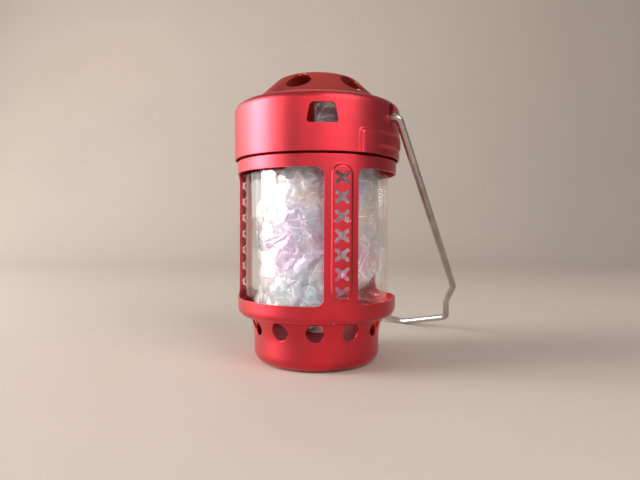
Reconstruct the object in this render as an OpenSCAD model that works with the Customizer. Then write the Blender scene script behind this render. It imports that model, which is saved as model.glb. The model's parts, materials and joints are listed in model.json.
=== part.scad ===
// Small candle lantern: drawn aluminium cup, pierced cage, glass chimney, bayonet cap and wire bail.
// The chimney holds a crumpled film that a slim battery light shines into.
// Origin: centre of the base on the surface it stands on. +Z up. The view side is -Y.
// Azimuths are measured from -Y, turning towards +X.

/* [Sheet] */
// Thickness of the drawn aluminium sheet
sheet = 0.6; // [0.4:0.1:0.8]

/* [Cup] */
// Width of the step from the cage's wall in to the cup's wall
cup_step = 5.3; // [5:0.1:5.6]
// Radius of the rolled edge under the cup
cup_edge_r = 3.8; // [2.5:0.1:5]
// Width of the step from the cage's wall in to the top of the neck
neck_step = 3.5; // [3.4:0.1:3.7]
// Height of the seam between cup and cage
seam_z = 15; // [14.5:0.1:16]
// Height of the flared neck
neck_h = 7; // [6.5:0.1:7.5]
// Number of air holes round the neck
air_count = 12; // [6:1:14]
// Diameter of an air hole
air_d = 5.4; // [3:0.1:5.8]
// Distance of the air holes' centres below the seam
air_drop = 2.9; // [2.8:0.1:3.4]
// Azimuth of the first air hole
air_az = -1.3; // [-10:0.1:10]

/* [Cage] */
// Outer radius of the cage
cage_r = 25.8; // [24.5:0.1:27.1]
// Radius of the cage's rolled lower edge
cage_edge_r = 2.8; // [2:0.1:3.2]
// Height of the ring under the openings
low_ring_h = 5.9; // [5:0.1:6.5]
// Height of the openings
opening_h = 39.4; // [37:0.1:42]
// Corner radius of the openings
opening_corner_r = 2.2; // [1:0.1:3]
// Number of pillars
pillar_count = 3; // [2:1:4]
// Width of a pillar along the cage's curve
pillar_w = 10.4; // [9.6:0.1:12]
// Azimuth of the first pillar
pillar_az = 15.9; // [10:0.1:22]
// Height of the collar that the cap takes in
collar_h = 7.4; // [7.1:0.1:7.6]
// How far the collar steps in from the cage's wall
collar_step = 0.6; // [0.4:0.05:0.7]

/* [Pillar beads] */
// How far a bead stands out of its pillar
bead_raise = 0.55; // [0.3:0.05:0.6]
// Width of a bead at its foot
bead_w = 6.8; // [6:0.1:8]
// Width of a bead's flat crest
bead_crest_w = 5.6; // [4.8:0.1:5.8]
// How far a bead starts above the openings' lower edge
bead_start = 1; // [0.6:0.1:1.1]
// How far a bead runs past the openings' upper edge
bead_run = 1.1; // [0.7:0.1:1.7]
// Number of X-shaped cut-outs in a bead
cross_count = 7; // [3:1:7]
// How far the row of cut-outs lies below the bead's middle
cross_drop = 0.7; // [0:0.05:0.9]
// Width of a cut-out
cross_w = 4.35; // [3:0.05:4.4]
// Height of a cut-out
cross_h = 3.85; // [3:0.05:4.2]
// Width of a cut-out's arms
cross_arm = 1.2; // [0.8:0.1:1.4]
// Diameter of the eye where the arms cross
cross_eye_d = 2.1; // [1.8:0.1:2.4]

/* [Glass] */
// Room between the chimney and the cup's rim round it
glass_room = 1.3; // [1.2:0.1:1.6]
// Thickness of the glass
glass_wall = 1.4; // [1.2:0.1:1.6]
// How far the chimney ends below the collar's top edge
glass_drop = 1.2; // [0.5:0.1:5]

/* [Cap] */
// How far the cap's wall stands out past the cage
cap_step = 1; // [0.9:0.05:1.1]
// Distance of the cap's lower edge above the openings
cap_lift = 4.3; // [4:0.1:4.6]
// Open gap between the cage's ring and the cap's lower edge
cap_gap = 0.5; // [0.3:0.1:0.8]
// Height of the cap
cap_h = 17.4; // [17:0.1:18]
// Radius of the cap's shoulder
cap_shoulder_r = 2.7; // [2:0.1:3]
// Number of vent windows in the cap's wall
vent_count = 3; // [2:1:3]
// Azimuth of the first vent window
vent_az = 3.2; // [0:0.1:5]
// Width of a vent window at its lower edge
vent_low_w = 9.4; // [8:0.1:10]
// Width of a vent window at its upper edge
vent_high_w = 7; // [5:0.1:7.5]
// Height of the vent windows
vent_h = 5.6; // [5:0.1:6]
// Distance of the vent windows' upper edge below the cap's top
vent_drop = 4; // [3.6:0.1:4.2]
// Corner radius of the vent windows
vent_corner_r = 1.1; // [0.5:0.1:1.2]

/* [Bayonet] */
// How far the channels stand out of the cap
channel_raise = 0.7; // [0.6:0.05:0.75]
// Azimuth of the channels' entry edge
channel_az = 28; // [27:0.5:29]
// Width of a channel's entry, in degrees
entry_deg = 13; // [12:0.5:14]
// Length of a channel's level track, in degrees
track_deg = 44; // [43.5:0.5:46]
// Height of the track's lower edge above the cap's lower edge
track_lift = 2.8; // [2.5:0.1:3]
// Height of the level track
track_h = 3.5; // [3.3:0.1:3.7]
// Width of a lug, in degrees
lug_deg = 7; // [5:0.5:8]
// Height of a lug
lug_h = 2.4; // [1.8:0.1:2.8]
// How far a lug stands out of the collar
lug_raise = 0.8; // [0.7:0.05:0.85]

/* [Dome] */
// Width of the cap's shoulder, from its wall to the dome's foot
shoulder_w = 5.5; // [5.4:0.1:5.8]
// How far the dome's foot stands up before the cone starts
dome_foot_h = 0.6; // [0.6:0.1:1]
// Width of the cone, from the foot in to the crown
cone_w = 8.1; // [7.8:0.1:8.4]
// Height of the cone
cone_h = 7.6; // [7:0.1:8]
// Height of the crown
crown_h = 2.4; // [2:0.1:2.8]
// Number of vent holes in the dome
dome_hole_count = 6; // [3:1:6]
// Diameter of a vent hole
dome_hole_d = 7.7; // [6:0.1:8.2]
// Azimuth of the first vent hole
dome_hole_az = -20; // [-25:0.5:-15]

/* [Bail] */
// Diameter of the wire
wire_d = 2.4; // [2:0.1:2.5]
// Distance of the hinge axis below the cap's top
pivot_drop = 5.7; // [5.4:0.1:5.8]
// Azimuth of the hinge axis
pivot_az = 56.5; // [55:0.5:58]
// Distance of a leg's middle from the cap's wall
leg_room = 2.2; // [2.1:0.1:3.2]
// Length of the straight legs
leg_len = 76.2; // [70:0.1:80]
// How far the wire comes in from a leg to the grip's corner
grip_step = 7.4; // [6:0.1:9]
// Distance from the end of a leg to the grip's corner
grip_run = 20.1; // [18:0.1:22]
// Depth of the grip's shallow V
grip_dip = 6.9; // [6:0.1:8]
// Length of the hooked end inside the cap
hook_len = 2.9; // [2.6:0.1:3]

/* [Film] */
// Mean room between the film and the glass
film_room = 2.5; // [2:0.1:4]
// Radius of the film's tail in the cup
film_tail_r = 9.5; // [8:0.1:11]
// Distance of the film's top below the cap's top
film_drop = 2; // [1.5:0.1:6]
// Slope of the film's left shoulder, in degrees
film_slope = 53; // [45:1:60]
// Distance from the lantern's axis to where that slope meets the openings' upper edge
film_slope_x = 11; // [9:0.5:13]

/* [Battery light] */
// Room between the light's case and the cup
light_room = 1.7; // [1.5:0.1:2.4]
// Height of the light's case
light_h = 8.2; // [8:0.1:8.4]
// Wall of the light's case
light_wall = 1.2; // [1:0.1:1.4]
// Diameter of the lamp's lens
lamp_d = 5; // [4.8:0.1:5.2]
// Thickness of the coin cell
cell_h = 3.2; // [3:0.1:3.2]
// Travel of the slide switch
switch_travel = 2; // [1.5:0.1:2.2]

/* [Hidden] */
$fn = 96;

arc_step = 12;            // degrees between two points of a rounded profile corner
corner_sides = 20;        // sides of the full round that rounds a window's corner
past = 1;                 // how far a cutter runs past the face that it cuts
snug = 0.2;               // gap between pieces that pass by each other
slide_gap = 0.1;          // gap between pieces that slide on each other
rest_gap = 0.05;          // gap under the wire where it hangs in its slots

cut_depth = 2;            // how far a cutter reaches in and out from the wall that it pierces

red = [0.80, 0.06, 0.12];
dull_red = [0.60, 0.08, 0.10];
steel = [0.62, 0.58, 0.56];
brass = [0.80, 0.64, 0.30];

// ---- Profiles -------------------------------------------------------------

function unit(v) = v / norm(v);
function left_of(v) = [-v.y, v.x];
function xy(p) = [p.x, p.y];
function bend_at(p, i) = [unit(xy(p[i] - p[i - 1])), unit(xy(p[i + 1] - p[i]))];
function turn_of(d) = atan2(cross(d[0], d[1]), d[0] * d[1]);

// Points of one rounded corner between the directions d[0] and d[1]
function corner_arc(p, r, d) =
    let (turn = turn_of(d),
         side = turn > 0 ? 1 : -1,
         start = p - d[0] * r * tan(abs(turn) / 2),
         centre = start + left_of(d[0]) * side * r,
         steps = max(1, ceil(abs(turn) / arc_step)))
    [for (k = [0:steps])
        let (a = turn * k / steps, s = (start - centre))
        centre + [s.x * cos(a) - s.y * sin(a), s.x * sin(a) + s.y * cos(a)]];

// An open outline of corners [r, z, rounding] with its corners rounded
function rounded(p) = [
    xy(p[0]),
    for (i = [1:len(p) - 2])
        for (q = p[i][2] > 0.01 ? corner_arc(xy(p[i]), p[i][2], bend_at(p, i)) : [xy(p[i])]) q,
    xy(p[len(p) - 1])];

// The same outline moved sideways by t to its left, as the other face of a bent sheet
function moved(p, t) = let (last = len(p) - 1) [
    for (i = [0:last])
        let (d = i == 0 ? [unit(xy(p[1] - p[0])), unit(xy(p[1] - p[0]))]
               : i == last ? [unit(xy(p[last] - p[last - 1])), unit(xy(p[last] - p[last - 1]))]
               : bend_at(p, i),
             n = [left_of(d[0]), left_of(d[1])],
             q = xy(p[i]) + t * (n[0] + n[1]) / (1 + n[0] * n[1]),
             r = p[i][2] > 0 ? max(0, p[i][2] - t * sign(turn_of(d))) : 0)
        [q.x, q.y, r]];

function flipped(p) = [for (i = [len(p) - 1:-1:0]) p[i]];
function bent_sheet(p, t) = concat(rounded(p), flipped(rounded(moved(p, t))));

// The same, kept on one side of the axis that it is turned about
function turned_sheet(p, t) = [for (q = bent_sheet(p, t)) [max(0, q.x), q.y]];

// A closed outline with every corner rounded by r
function rounded_loop(p, r) = let (n = len(p)) [
    for (i = [0:n - 1])
        let (a = p[(i + n - 1) % n], b = p[i], c = p[(i + 1) % n])
        for (q = corner_arc(b, r, [unit(b - a), unit(c - b)])) q];

// ---- Helpers --------------------------------------------------------------

// Turns children that are made along +X to an azimuth
module at_azimuth(az) { rotate([0, 0, az - 90]) children(); }

// A cutter along the radius: its outline is drawn as [along the curve, height]
module radial_prism(r0, r1) {
    translate([r0, 0, 0]) rotate([90, 0, 90]) linear_extrude(r1 - r0) children();
}

// A ring segment between two azimuths
module ring_segment(r0, r1, z0, z1, az0, az1) {
    at_azimuth(az0) rotate_extrude(angle = az1 - az0) translate([r0, z0]) square([r1 - r0, z1 - z0]);
}

// A flat-sided stand-in for a circle, with a side on each axis
module many_sided(r, sides) {
    polygon([for (k = [0:sides - 1]) let (a = 360 * (k + 0.5) / sides) r * [cos(a), sin(a)]]);
}

function degrees_of(w, r) = w / r * 180 / PI;

// ---- Radii and heights, each from the piece that it stands on --------------

cup_r = cage_r - cup_step;
neck_top_r = cage_r - neck_step;
glass_r = cage_r - 2 * sheet - glass_room;
film_r = glass_r - glass_wall - film_room;
light_r = cup_r - sheet - light_room;
collar_r = cage_r - collar_step;
cap_r = cage_r + cap_step;
dome_r = cap_r - shoulder_w;
crown_r = dome_r - cone_w;
leg_x = cap_r + leg_room;
grip_x = leg_x - grip_step;

cup_straight_z = seam_z - neck_h;
air_z = seam_z - air_drop;
opening_low_z = seam_z + low_ring_h;
opening_high_z = opening_low_z + opening_h;
bead_low_z = opening_low_z + bead_start;
bead_high_z = opening_high_z + bead_run;
cap_low_z = opening_high_z + cap_lift;
cap_top_z = cap_low_z + cap_h;
ring_top_z = cap_low_z - cap_gap;
collar_top_z = cap_low_z + collar_h;
track_low_z = cap_low_z + track_lift;
track_high_z = track_low_z + track_h;
vent_high_z = cap_top_z - vent_drop;
vent_low_z = vent_high_z - vent_h;
pivot_z = cap_top_z - pivot_drop;
dome_foot_z = cap_top_z + dome_foot_h;
crown_z = dome_foot_z + cone_h;
dome_top_z = crown_z + crown_h;
film_top_z = cap_top_z - film_drop;

// ---- Cup ------------------------------------------------------------------

cup_floor_z = sheet;
flange_low_z = seam_z + sheet;            // the cup's rim lies on the cage's rolled-in edge
flange_high_z = flange_low_z + sheet;
cage_lip_r = neck_top_r + snug;
rim_r = cage_r - sheet;                   // and nests inside the lower ring
rim_high_z = opening_low_z - opening_corner_r + 0.7;
neck_deg = 2 * atan((neck_top_r - cup_r) / (seam_z - cup_straight_z));
neck_sweep_r = (seam_z - cup_straight_z) / sin(neck_deg);

// Outer face of the cup, from the middle of the floor to the end of the rim
cup_outline = concat(
    [[0, 0, 0], [cup_r, 0, cup_edge_r]],
    [for (k = [0:4]) let (a = neck_deg * k / 4)
        [cup_r + neck_sweep_r * (1 - cos(a)), cup_straight_z + neck_sweep_r * sin(a), 0]],
    [[neck_top_r, flange_low_z, 0], [rim_r, flange_low_z, cage_edge_r - sheet], [rim_r, rim_high_z, 0]]);

module base_cup() {
    color(red) difference() {
        rotate_extrude() polygon(turned_sheet(cup_outline, sheet));
        for (k = [0:air_count - 1])
            at_azimuth(air_az + k * 360 / air_count)
                translate([cup_r - cut_depth, 0, air_z]) rotate([0, 90, 0])
                    cylinder(h = neck_top_r - cup_r + 2 * cut_depth, d = air_d);
    }
}

// ---- Cage -----------------------------------------------------------------

cage_outline = [[cage_lip_r, seam_z, 0], [cage_r, seam_z, cage_edge_r], [cage_r, ring_top_z, 0.4],
                [collar_r, ring_top_z + collar_step / 2, 0.4], [collar_r, collar_top_z, 0]];
pillar_deg = degrees_of(pillar_w, cage_r);
corner_deg = degrees_of(opening_corner_r, cage_r);
lug_high_z = track_high_z - slide_gap;    // the cap hangs on its two lugs
lug_end_az = channel_az + track_deg - 1;  // with one degree left before the track's end
cross_pitch = (bead_high_z - bead_low_z) / (cross_count + 0.22);
cross_mid_z = (bead_low_z + bead_high_z) / 2 - cross_drop;

// One window between two pillars, with rounded corners
module cage_opening(az0, az1) {
    r0 = cage_r - sheet - past;
    r1 = cage_r + past;
    c = opening_corner_r;
    ring_segment(r0, r1, opening_low_z, opening_high_z, az0 + corner_deg, az1 - corner_deg);
    ring_segment(r0, r1, opening_low_z + c, opening_high_z - c, az0, az1);
    for (az = [az0 + corner_deg, az1 - corner_deg])
        for (z = [opening_low_z + c, opening_high_z - c])
            at_azimuth(az) radial_prism(r0, r1) translate([0, z]) many_sided(c, corner_sides);
}

module bead_outline(w) {
    translate([-w / 2, bead_low_z + w / 2]) square([w, bead_high_z - bead_low_z - w]);
    for (z = [bead_low_z + w / 2, bead_high_z - w / 2])
        translate([0, z]) circle(d = w);
}

// The raised bead: a crest of full height with sloped flanks in plan, round-ended in elevation
module bead(raise, w, crest_w) {
    r0 = cage_r - sheet / 2;
    r1 = cage_r - 0.1;                    // a hair inside the wall, so that the flank meets it
    r2 = cage_r + raise;
    intersection() {
        cylinder(h = bead_high_z + past, r = r2);
        radial_prism(r0, cage_r + cut_depth) bead_outline(w);
        linear_extrude(bead_high_z + past)
            polygon([[0, 0], [r0, -w / 2], [r1, -w / 2], [r2, -crest_w / 2], [r2, crest_w / 2],
                     [r1, w / 2], [r0, w / 2]]);
    }
}

// X-shaped cut-out with round-ended arms and a round eye
module cross_outline() {
    reach = [cross_w - cross_arm, cross_h - cross_arm] / 2;
    lean = atan2(reach.y, reach.x);
    circle(d = cross_eye_d, $fn = 32);
    for (a = [lean, -lean])
        rotate(a) {
            square([2 * norm(reach), cross_arm], center = true);
            for (s = [-1, 1]) translate([s * norm(reach), 0]) circle(d = cross_arm, $fn = 24);
        }
}

module pillar_crosses() {
    for (k = [0:cross_count - 1])
        radial_prism(cage_r - cut_depth, cage_r + cut_depth)
            translate([0, cross_mid_z + (k - (cross_count - 1) / 2) * cross_pitch]) cross_outline();
}

module cage() {
    color(red) difference() {
        union() {
            difference() {
                union() {
                    rotate_extrude() polygon(bent_sheet(cage_outline, sheet));
                    for (k = [0:pillar_count - 1])
                        at_azimuth(pillar_az + k * 360 / pillar_count) bead(bead_raise, bead_w, bead_crest_w);
                }
                for (k = [0:pillar_count - 1])
                    at_azimuth(pillar_az + k * 360 / pillar_count)
                        intersection() {
                            cylinder(h = collar_top_z, r = cage_r - sheet + bead_raise);
                            radial_prism(cage_r - cut_depth, cage_r + cut_depth)
                                bead_outline(bead_w - 2 * sheet);
                        }
            }
            for (half = [0, 180])
                ring_segment(collar_r - sheet / 2, cage_r + lug_raise, lug_high_z - lug_h,
                             lug_high_z, lug_end_az - lug_deg + half, lug_end_az + half);
        }
        for (k = [0:pillar_count - 1]) {
            az = pillar_az + k * 360 / pillar_count;
            cage_opening(az + pillar_deg / 2, az + 360 / pillar_count - pillar_deg / 2);
            at_azimuth(az) pillar_crosses();
        }
    }
}

// ---- Glass and film -------------------------------------------------------

glass_low_z = flange_high_z;
glass_high_z = collar_top_z - glass_drop;
glass_edge_r = glass_wall * 0.4;          // fire-polished ends

module glass_chimney() {
    r = glass_r - glass_wall;
    color([0.85, 0.92, 0.95, 0.35]) rotate_extrude()
        polygon(rounded_loop([[r, glass_low_z], [glass_r, glass_low_z], [glass_r, glass_high_z],
                              [r, glass_high_z]], glass_edge_r));
}

light_low_z = cup_floor_z;
light_top_z = light_low_z + light_h;

// The film as one plain solid: a tail in the cup, a full body in the chimney, and a loose top that
// slopes away to the left
module film_wad() {
    waist_z = flange_high_z + 1;
    swell_h = 7;                          // height in which it swells from the tail to the glass
    lamp_room = 0.7;
    socket_r = lamp_d / 2 + lamp_room;
    socket_z = lamp_top_z + lamp_room;
    color([0.80, 0.86, 0.90, 0.8]) difference() {
        rotate_extrude()
            polygon(rounded([[0, socket_z, 0], [socket_r, socket_z, 1], [socket_r, light_top_z, 0],
                             [0.8 * film_tail_r, light_top_z, 0.8], [film_tail_r, waist_z, 2],
                             [film_r, waist_z + swell_h, 4], [film_r, opening_high_z, 6],
                             [0.72 * film_r, film_top_z, 4], [0, film_top_z, 0]]));
        translate([-film_slope_x, 0, opening_high_z]) rotate([0, -film_slope, 0])
            translate([-2 * film_r, -2 * film_r, 0]) cube(4 * film_r);
    }
}

// ---- Cap ------------------------------------------------------------------

cap_hole_r = dome_r + snug;
cap_outline = [[cap_r, cap_low_z, 0], [cap_r, cap_top_z, cap_shoulder_r], [cap_hole_r, cap_top_z, 0]];
slot_w = wire_d + 0.8;
slot_h = 5.4;
slot_low_z = pivot_z - wire_d / 2 - rest_gap;
slot_high_z = slot_low_z + slot_h;

// The plan of one bayonet channel, grown by g on every side but its mouth
module channel(r0, r1, g, az) {
    g_deg = degrees_of(g, cap_r);
    ring_segment(r0, r1, cap_low_z - (g > 0 ? 0 : past), track_high_z + g, az - g_deg, az + entry_deg + g_deg);
    ring_segment(r0, r1, track_low_z - g, track_high_z + g, az - g_deg, az + track_deg + g_deg);
}

module vent_window() {
    w = [vent_low_w, vent_high_w] / 2;
    radial_prism(cap_r - cut_depth, cap_r + cut_depth)
        polygon(rounded_loop([[-w[0], vent_low_z], [w[0], vent_low_z], [w[1], vent_high_z],
                              [-w[1], vent_high_z]], vent_corner_r));
}

module bail_slot() {
    z0 = slot_low_z + slot_w / 2;
    z1 = slot_high_z - slot_w / 2;
    radial_prism(cap_r - cut_depth, cap_r + cut_depth) {
        translate([-slot_w / 2, z0]) square([slot_w, z1 - z0]);
        for (z = [z0, z1]) translate([0, z]) circle(d = slot_w);
    }
}

module cap_shell() {
    color(red) difference() {
        union() {
            rotate_extrude() polygon(bent_sheet(cap_outline, sheet));
            for (half = [0, 180])
                channel(cap_r - sheet / 2, cap_r + channel_raise, sheet, channel_az + half);
        }
        for (half = [0, 180]) {
            channel(cap_r - sheet - past, cap_r + channel_raise - sheet, 0, channel_az + half);
            at_azimuth(pivot_az + half) bail_slot();
        }
        for (k = [0:vent_count - 1])
            at_azimuth(vent_az + k * 360 / vent_count) vent_window();
    }
}

// ---- Dome -----------------------------------------------------------------

flange_top_z = cap_top_z - sheet;         // the dome's flange lies under the cap's shoulder
dome_flange_room = 0.5;                   // from its edge to the shoulder's rounding
dome_hole_r = dome_r - 0.593 * cone_w;    // radius at which the holes' centres lie
dome_flange_r = cap_r - cap_shoulder_r - dome_flange_room;
cone_slope = atan2(crown_z - dome_foot_z, dome_r - crown_r);
crown_sphere_r = (crown_r * crown_r + crown_h * crown_h) / (2 * crown_h);
crown_deg = asin(crown_r / crown_sphere_r);

dome_outline = concat(
    [[dome_flange_r, flange_top_z, 0], [dome_r, flange_top_z, 0], [dome_r, dome_foot_z, 1.2]],
    [for (k = [6:-1:0]) let (a = crown_deg * k / 6)
        [crown_sphere_r * sin(a), dome_top_z - crown_sphere_r * (1 - cos(a)), k == 6 ? 3 : 0]]);

module dome() {
    hole_z = dome_foot_z + (dome_r - dome_hole_r) * tan(cone_slope);
    color(dull_red) difference() {
        rotate_extrude() polygon(turned_sheet(dome_outline, sheet));
        for (k = [0:dome_hole_count - 1])
            at_azimuth(dome_hole_az + k * 360 / dome_hole_count)
                translate([dome_hole_r, 0, hole_z]) rotate([0, 90 - cone_slope, 0])
                    cylinder(h = 6, d = dome_hole_d, center = true);
    }
}

// ---- Bail -----------------------------------------------------------------

// One round wire along a flat path of points: a ring of corners at each, joined by quads
module wire(path, r, sides) {
    last = len(path) - 1;
    function heading(i) = unit(path[min(i + 1, last)] - path[max(i - 1, 0)]);
    rings = [for (i = [0:last]) let (n = left_of(heading(i))) for (j = [0:sides - 1])
        let (a = 360 * j / sides) [path[i].x + n.x * r * cos(a), path[i].y + n.y * r * cos(a), r * sin(a)]];
    walls = [for (i = [0:last - 1]) for (j = [0:sides - 1])
        let (k = (j + 1) % sides)
        [i * sides + j, (i + 1) * sides + j, (i + 1) * sides + k, i * sides + k]];
    ends = [[for (j = [0:sides - 1]) j], [for (j = [sides - 1:-1:0]) last * sides + j]];
    polyhedron(rings, concat(walls, ends));
}

wire_sides = 16;
hook_x = cap_r - sheet - wire_d / 2 - 1.2;
grip_corner_y = leg_len + grip_run;
grip_mid_y = grip_corner_y + grip_dip;
knee_y = leg_len + 0.473 * grip_run;      // where the slope to the grip steepens
knee_x = grip_x + 0.324 * grip_step;
grip_mid_bend = 8;
half_bail = [[hook_x, -hook_len, 0], [hook_x, 0, 1.6], [leg_x, 0, 1.9], [leg_x, leg_len, 4],
             [knee_x, knee_y, 4], [grip_x, grip_corner_y, 3]];
bail_outline = concat(half_bail, [[0, grip_mid_y, grip_mid_bend]],
                      [for (i = [len(half_bail) - 1:-1:0]) [-half_bail[i].x, half_bail[i].y, half_bail[i].z]]);
// The bail lies on the surface: its furthest wire touches down
grip_half_turn = atan2(grip_mid_y - grip_corner_y, grip_x);
bail_reach = grip_mid_y - grip_mid_bend * (1 / cos(grip_half_turn) - 1);
bail_swing = acos((pivot_z - wire_d / 2) / bail_reach);

module bail() {
    color(steel) translate([0, 0, pivot_z]) at_azimuth(pivot_az)
        rotate([bail_swing, 0, 0]) rotate([-90, 0, 0]) wire(rounded(bail_outline), wire_d / 2, wire_sides);
}

// ---- Battery light --------------------------------------------------------

case_foot_r = 2.6;                        // roundings of the case's lower and upper edge
case_head_r = 1.2;
plate_h = light_wall;
plate_r = light_r - case_foot_r + 0.1;
plate_top_z = light_low_z + plate_h;
ceiling_z = light_top_z - light_wall;
strip_t = 0.3;                            // brass strips
strip_w = 3;
cell_low_z = plate_top_z + strip_t;
cell_top_z = cell_low_z + cell_h;
switch_len = 3.4;
switch_w = 3;
switch_slot = [switch_len + switch_travel + 2 * slide_gap, switch_w + 2 * slide_gap];
switch_slot_x = plate_r - 1.1 - switch_slot.x;
// The door takes the room that the switch leaves, and the cell is as wide as the door lets through
door_high_x = switch_slot_x - 2;
door_r = (door_high_x + plate_r - 0.7) / 2;
cell_x = door_high_x - door_r;
cell_d = 2 * (door_r - 1);
lead_t = 0.4;                             // the lamp's wire leads
lead_x = 1.27;
flange_h = 1;
lamp_top_z = ceiling_z + lamp_d;

case_outline = [[plate_r, light_low_z, 0], [light_r, light_low_z, case_foot_r],
                [light_r, light_top_z, case_head_r], [lamp_d / 2 + slide_gap, light_top_z, 0]];

module light_case() {
    color([0.93, 0.93, 0.90]) rotate_extrude() polygon(bent_sheet(case_outline, light_wall));
}

module light_base() {
    color([0.90, 0.90, 0.87]) difference() {
        translate([0, 0, light_low_z]) cylinder(h = plate_h, r = plate_r);
        translate([cell_x, 0, light_low_z - past]) cylinder(h = plate_h + 2 * past, r = door_r);
        translate([switch_slot_x, -switch_slot.y / 2, light_low_z - past])
            cube([switch_slot.x, switch_slot.y, plate_h + 2 * past]);
    }
}

// Snap-in door with a slot for a coin
module battery_door() {
    coin_slot = [8, 1.6, 0.6];
    color([0.86, 0.86, 0.83]) difference() {
        translate([cell_x, 0, light_low_z]) cylinder(h = plate_h, r = door_r);
        translate([cell_x - coin_slot.x / 2, -coin_slot.y / 2, light_low_z - past])
            cube([coin_slot.x, coin_slot.y, coin_slot.z + past]);
    }
}

module coin_cell() {
    rim_h = 0.5;
    color([0.75, 0.75, 0.76]) translate([cell_x, 0, cell_low_z]) {
        cylinder(h = rim_h, d = cell_d - 2.4);
        translate([0, 0, rim_h]) cylinder(h = cell_h - rim_h, d = cell_d);
    }
}

// A flat strip bent through a row of corners [x, z, rounding]
module strip(p, w, t) {
    translate([0, w / 2, 0]) rotate([90, 0, 0]) linear_extrude(w) polygon(bent_sheet(p, t));
}

// Lies on the door under the cell and ends on the plate
module contact_minus() {
    color(brass)
        strip([[cell_x - 6, plate_top_z, 0], [switch_slot_x - 0.4, plate_top_z, 0]], strip_w, strip_t);
}

// Hangs from the case's ceiling and lies on the cell
module contact_plus() {
    foot_x = -lead_x + 1;
    fold_x = cell_x - 5;
    color(brass)
        strip([[foot_x, cell_top_z + strip_t, 0], [fold_x, cell_top_z + strip_t, 0.5], [fold_x, ceiling_z, 0.5],
               [fold_x - 3, ceiling_z, 0]], strip_w, strip_t);
}

module led() {
    lens_r = lamp_d / 2;
    base_z = ceiling_z - flange_h;
    minus_x = cell_x + cell_d / 2 + 1.6;
    color([0.98, 0.95, 0.80]) {
        rotate_extrude()
            polygon(rounded([[0, base_z, 0], [lens_r + 0.4, base_z, 0], [lens_r + 0.4, ceiling_z, 0],
                             [lens_r, ceiling_z, 0], [lens_r, lamp_top_z, lens_r - 0.1], [0, lamp_top_z, 0]]));
        translate([-lead_x - lead_t / 2, -lead_t / 2, cell_top_z + strip_t])
            cube([lead_t, lead_t, base_z - cell_top_z - strip_t]);
        strip([[lead_x, base_z, 0], [minus_x, base_z, 0.5], [minus_x, cell_low_z, 0]], lead_t, -lead_t);
    }
}

// Slider with a shoulder that keeps it on the plate
module light_switch() {
    shoulder_w = switch_w + 1.8;
    x0 = switch_slot_x + slide_gap;
    color([0.12, 0.12, 0.13]) {
        translate([x0, -switch_w / 2, light_low_z + 0.2]) cube([switch_len, switch_w, plate_h + slide_gap]);
        translate([x0, -shoulder_w / 2, plate_top_z + slide_gap]) cube([switch_len, shoulder_w, 1]);
    }
}

base_cup();
cage();
glass_chimney();
film_wad();
cap_shell();
dome();
bail();
light_case();
light_base();
battery_door();
coin_cell();
contact_plus();
contact_minus();
led();
light_switch();
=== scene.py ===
"""Small red candle lantern with a glass chimney full of crumpled iridescent film.

Every piece is a surface worked out in the frame's own coordinates: metres, +Z up, the viewed
side at -Y. Azimuths start at -Y and turn towards +X.
"""

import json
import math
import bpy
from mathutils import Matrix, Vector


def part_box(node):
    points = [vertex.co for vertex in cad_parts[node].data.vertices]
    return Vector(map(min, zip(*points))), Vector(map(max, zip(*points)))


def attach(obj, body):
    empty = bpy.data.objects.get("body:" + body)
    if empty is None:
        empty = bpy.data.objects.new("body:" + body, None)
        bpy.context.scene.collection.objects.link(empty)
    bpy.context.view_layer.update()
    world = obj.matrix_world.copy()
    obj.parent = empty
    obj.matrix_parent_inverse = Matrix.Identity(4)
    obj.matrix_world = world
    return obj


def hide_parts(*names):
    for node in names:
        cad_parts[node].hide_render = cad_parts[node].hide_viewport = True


bl_info = {
    "name": "Film Lantern",
    "version": (1, 0, 0),
    "blender": (4, 5, 0),
    "location": "View3D > Sidebar > Lantern",
    "description": "Builds a small red lantern filled with iridescent film around its packed frame",
    "category": "Add Mesh",
}

import bmesh
import bpy
import numpy as np
from bpy.props import FloatProperty, FloatVectorProperty, IntProperty, PointerProperty
from mathutils import Matrix, Vector

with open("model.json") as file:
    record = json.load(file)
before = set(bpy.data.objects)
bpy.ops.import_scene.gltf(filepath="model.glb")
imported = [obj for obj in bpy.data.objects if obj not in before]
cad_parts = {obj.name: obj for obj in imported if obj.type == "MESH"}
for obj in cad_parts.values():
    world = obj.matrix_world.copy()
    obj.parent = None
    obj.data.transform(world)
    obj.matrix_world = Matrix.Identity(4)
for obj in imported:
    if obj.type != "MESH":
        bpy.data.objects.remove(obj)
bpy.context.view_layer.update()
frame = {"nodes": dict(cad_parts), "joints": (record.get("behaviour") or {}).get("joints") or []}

MM = 0.001
TURN = 2 * math.pi

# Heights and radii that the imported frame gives
CAGE_TOP_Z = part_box("cage")[1].z
CAP_LOW_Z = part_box("cap_shell")[0].z
CAP_TOP_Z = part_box("cap_shell")[1].z
DOME_TOP_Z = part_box("dome")[1].z
GLASS_LOW_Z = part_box("glass_chimney")[0].z
GLASS_TOP_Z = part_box("glass_chimney")[1].z
GLASS_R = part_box("glass_chimney")[1].x
FILM_TOP_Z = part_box("film_wad")[1].z
LIGHT_LOW_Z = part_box("light_case")[0].z
LIGHT_TOP_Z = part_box("light_case")[1].z
LIGHT_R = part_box("light_case")[1].x
HINGE = next(j for j in frame["joints"] if j["name"] == "bail_swing")

PILLARS = 3   # and as many vent windows in the cap
CROSSES = 7   # cut-outs in each pillar
CHANNELS = 2  # and as many lugs and bail slots
DOME_HOLES = 6


# ---- Settings ---------------------------------------------------------------


def length(name, size_mm, text):
    return FloatProperty(name=name, description=text, default=size_mm * MM, unit="LENGTH", precision=5)


def angle(name, degrees, text):
    return FloatProperty(name=name, description=text, default=math.radians(degrees), unit="ROTATION")


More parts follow.
